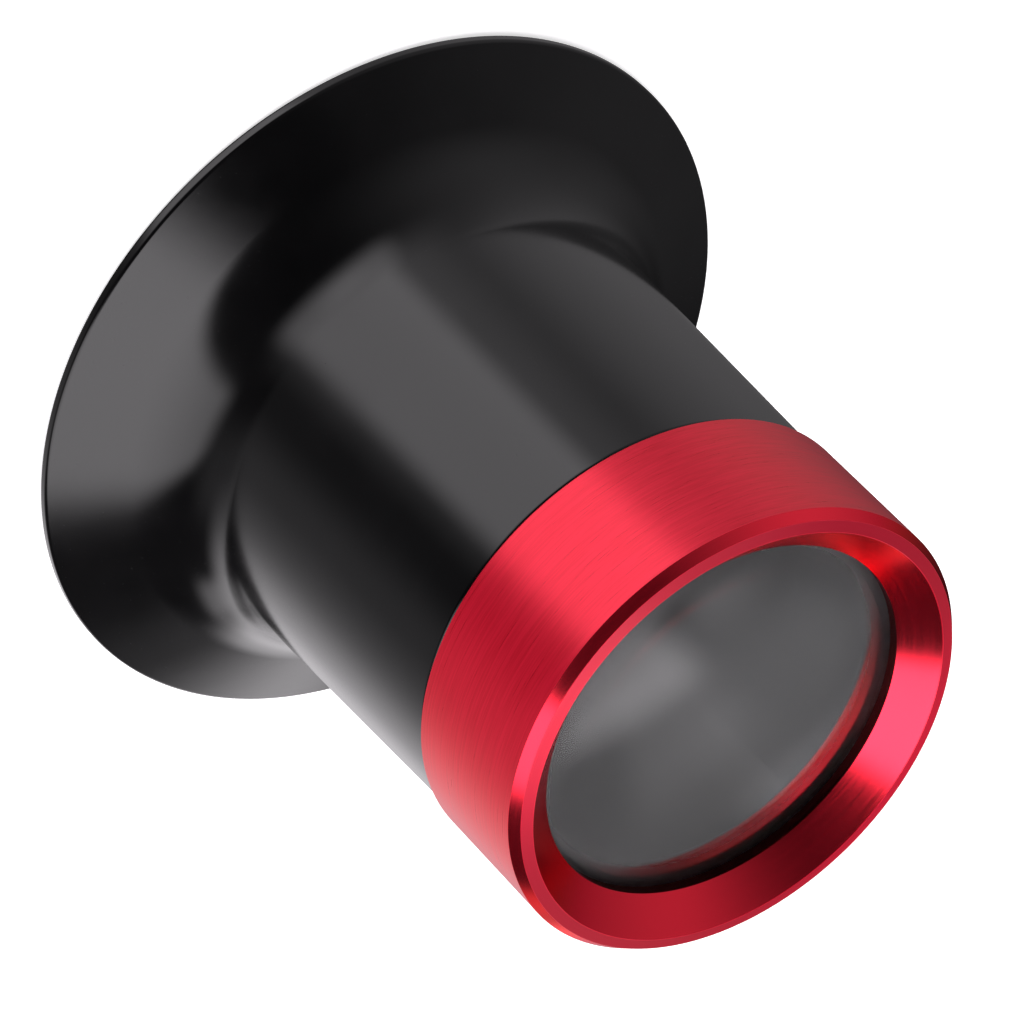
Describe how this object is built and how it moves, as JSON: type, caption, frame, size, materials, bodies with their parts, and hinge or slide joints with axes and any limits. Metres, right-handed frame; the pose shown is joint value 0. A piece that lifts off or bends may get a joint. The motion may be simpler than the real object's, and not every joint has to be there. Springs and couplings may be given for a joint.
{
  "type": "eye loupe",
  "caption": "Monocular eye loupe: a flared black eyecup with a red metal lens ring that unscrews from its narrow end.",
  "frame": {"origin": "centre of the eye rim's resting face, on the optical axis", "axes": "+Z along the optical axis from the eye rim towards the lens; the loupe stands on its rim"},
  "size_m": [0.042, 0.042, 0.0352],
  "materials": {
    "black_gloss_moulding": "glossy moulded black plastic",
    "red_anodised_aluminium": "turned and anodised red, fine circumferential tool lines",
    "clear_glass": "polished, uncoated",
    "black_rubber": "matte black",
    "black_anodised_aluminium": "matte black anodised"
  },
  "bodies": {
    "cup": {"eyecup": "black_gloss_moulding"},
    "lens_group": {"objective_lens": "clear_glass", "lens_washer": "black_rubber"},
    "ring": {"lens_ring": "red_anodised_aluminium", "retaining_ring": "black_anodised_aluminium"}
  },
  "joints": [
    {"name": "ring_lift", "type": "slide", "parent": "cup", "child": "lens_group", "axis": [0, 0, 1], "range_m": [0, 0.00225]},
    {"name": "ring_unscrew", "type": "hinge", "parent": "lens_group", "child": "ring", "pos_m": [0, 0, 0.0306], "axis": [0, 0, 1], "range_deg": [0, 1080]}
  ],
  "couplings": [
    {"joint": "ring_lift", "follows": "ring_unscrew", "m_per_rad": 0.00011937}
  ]
}
